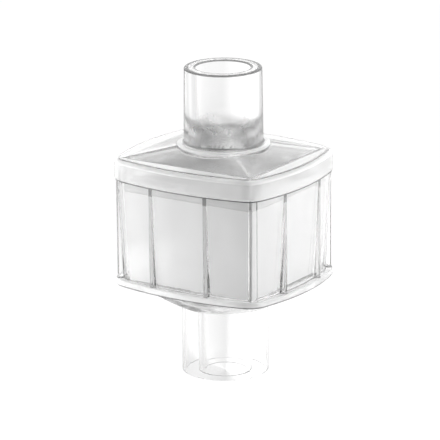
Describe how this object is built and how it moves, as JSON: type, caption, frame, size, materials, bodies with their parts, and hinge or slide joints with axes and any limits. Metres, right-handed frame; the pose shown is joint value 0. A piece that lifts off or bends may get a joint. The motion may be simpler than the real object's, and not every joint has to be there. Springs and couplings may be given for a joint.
{
  "type": "breathing circuit filter",
  "caption": "Clear ribbed rectangular housing with a pleated filter pack inside and a conical breathing port above and below.",
  "frame": {"origin": "centre of the lower port's rim, on the ports' common axis", "axes": "+Z along the ports' axis from the lower port to the upper port, +X across the housing's wide side"},
  "size_m": [0.0542, 0.0494, 0.0884],
  "materials": {
    "upper_housing": "clear moulded plastic, polished",
    "lower_housing": "clear moulded plastic, polished",
    "media_frame": "white moulded plastic, satin",
    "perimeter_seal": "pale potting compound, satin",
    "pleated_medium": "white non-woven fibre sheet, folded"
  },
  "bodies": {
    "root": {"upper_housing": "upper_housing", "lower_housing": "lower_housing", "media_frame": "media_frame", "perimeter_seal": "perimeter_seal", "pleated_medium": "pleated_medium"}
  },
  "joints": []
}
